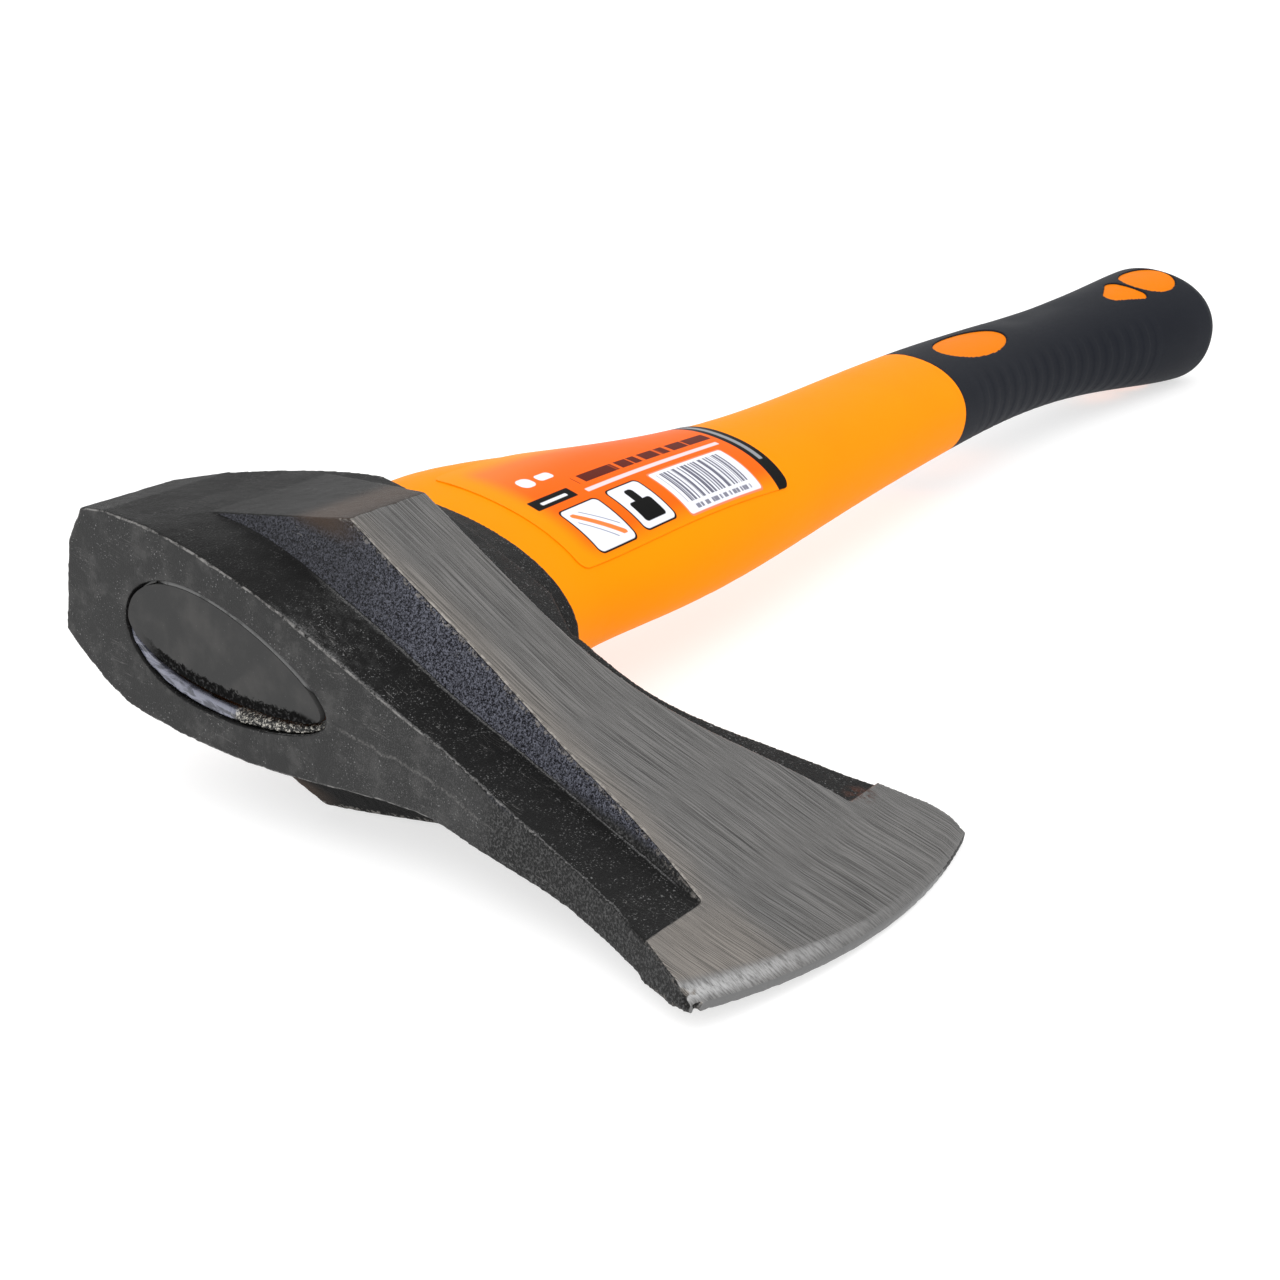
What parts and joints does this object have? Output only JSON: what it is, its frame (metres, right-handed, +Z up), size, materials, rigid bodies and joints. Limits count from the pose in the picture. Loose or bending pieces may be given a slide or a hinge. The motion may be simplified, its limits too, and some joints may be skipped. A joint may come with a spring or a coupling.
{
  "type": "splitting axe",
  "caption": "Short splitting axe: forged wedge head with raised ground centre wedge, plastic-jacketed fibreglass handle and ribbed rubber grip.",
  "frame": {"origin": "on the table under the middle of the axe, which lies on its side at rest", "axes": "+X along the handle from the head towards the butt, +Y towards the poll, -Y towards the cutting edge, +Z up from the table; the head's own mid-plane leans 14 degrees, because the axe rests on its edge, lower cheek and butt"},
  "size_m": [0.3988, 0.163, 0.0578],
  "materials": {
    "forged_steel": "rough forging under satin black paint, ground bright on the raised wedge and along the edge",
    "glass_fibre": "pultruded glass-fibre rod, hidden",
    "orange_plastic": "smooth satin-gloss moulded plastic",
    "black_rubber": "fine matt texture",
    "resin": "glossy black epoxy with pits",
    "label_vinyl": "printed vinyl, satin"
  },
  "bodies": {
    "root": {"axe_head": "forged_steel", "handle_core": "glass_fibre", "handle_jacket": "orange_plastic", "grip": "black_rubber", "epoxy_bond": "resin", "label": "label_vinyl"}
  },
  "joints": []
}
